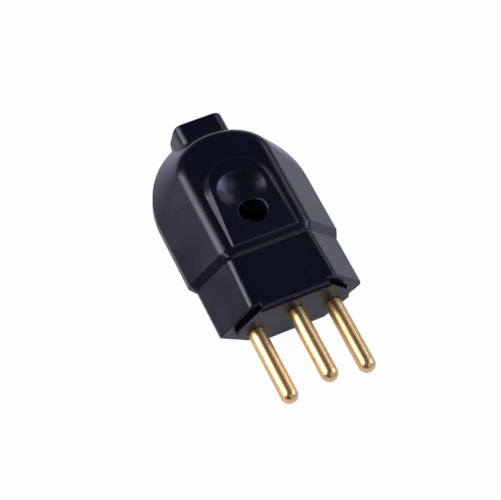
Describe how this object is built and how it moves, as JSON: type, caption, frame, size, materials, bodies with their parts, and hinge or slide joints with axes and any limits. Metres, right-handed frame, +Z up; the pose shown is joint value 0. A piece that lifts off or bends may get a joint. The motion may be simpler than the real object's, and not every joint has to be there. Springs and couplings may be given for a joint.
{
  "type": "grounded power plug",
  "caption": "Rewirable grounded mains plug with round pins, a clamshell housing, a finger dish and a cord outlet.",
  "frame": {"origin": "on the engagement face, midway between the two outer pins, in the parting plane of the shells", "axes": "X across the pins, -Y out along the pins, +Y towards the cord, +Z up through the upper shell"},
  "size_m": [0.037, 0.0726, 0.0194],
  "materials": {
    "housing": "satin",
    "carrier": "satin",
    "pins": "polished",
    "screws": "zinc plated"
  },
  "bodies": {
    "root": {"upper_shell": "housing", "lower_shell": "housing", "pin_carrier": "carrier", "live_pin": "pins", "neutral_pin": "pins", "earth_pin": "pins", "live_terminal_screw": "screws", "neutral_terminal_screw": "screws", "earth_terminal_screw": "screws", "shell_screw": "screws", "shell_nut": "screws", "cord_clamp_bar": "carrier", "cord_clamp_screw_left": "screws", "cord_clamp_screw_right": "screws"}
  },
  "joints": []
}
